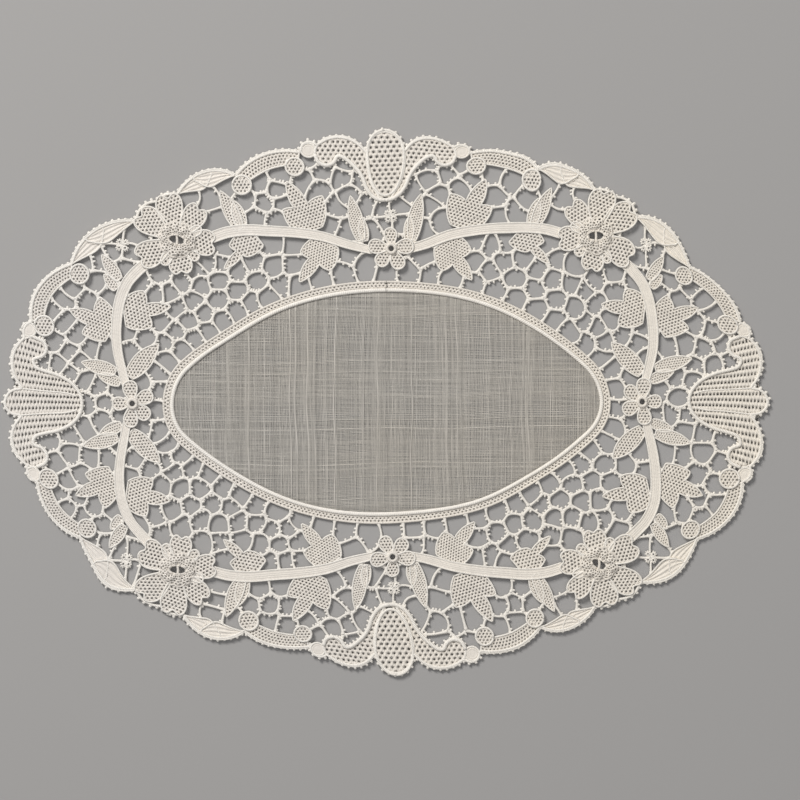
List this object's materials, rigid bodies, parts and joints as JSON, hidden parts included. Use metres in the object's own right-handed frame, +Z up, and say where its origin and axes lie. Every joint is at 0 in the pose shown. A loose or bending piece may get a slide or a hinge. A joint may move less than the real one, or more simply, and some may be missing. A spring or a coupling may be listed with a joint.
{
  "type": "lace doily",
  "caption": "Oval doily lying flat: a sheer linen centre with a hem, a narrow footing band and a deep scalloped border of needle lace with relief roses.",
  "frame": {"origin": "middle of the underside, on the surface that the doily lies on", "axes": "+X along the doily's length, +Y across it, +Z up through the face"},
  "size_m": [0.2904, 0.2062, 0.0043],
  "materials": {
    "lace_thread": "matt ivory cotton or linen thread, worked close",
    "linen_cloth": "sheer matt linen lawn, plain weave with slubs"
  },
  "bodies": {
    "root": {"blossom_ring_bottom": "lace_thread", "blossom_ring_left": "lace_thread", "blossom_ring_right": "lace_thread", "blossom_ring_top": "lace_thread", "footing_band": "lace_thread", "lace_border": "lace_thread", "linen_panel": "linen_cloth", "rose_crown_lower_left": "lace_thread", "rose_crown_lower_right": "lace_thread", "rose_crown_upper_left": "lace_thread", "rose_crown_upper_right": "lace_thread"}
  },
  "joints": []
}
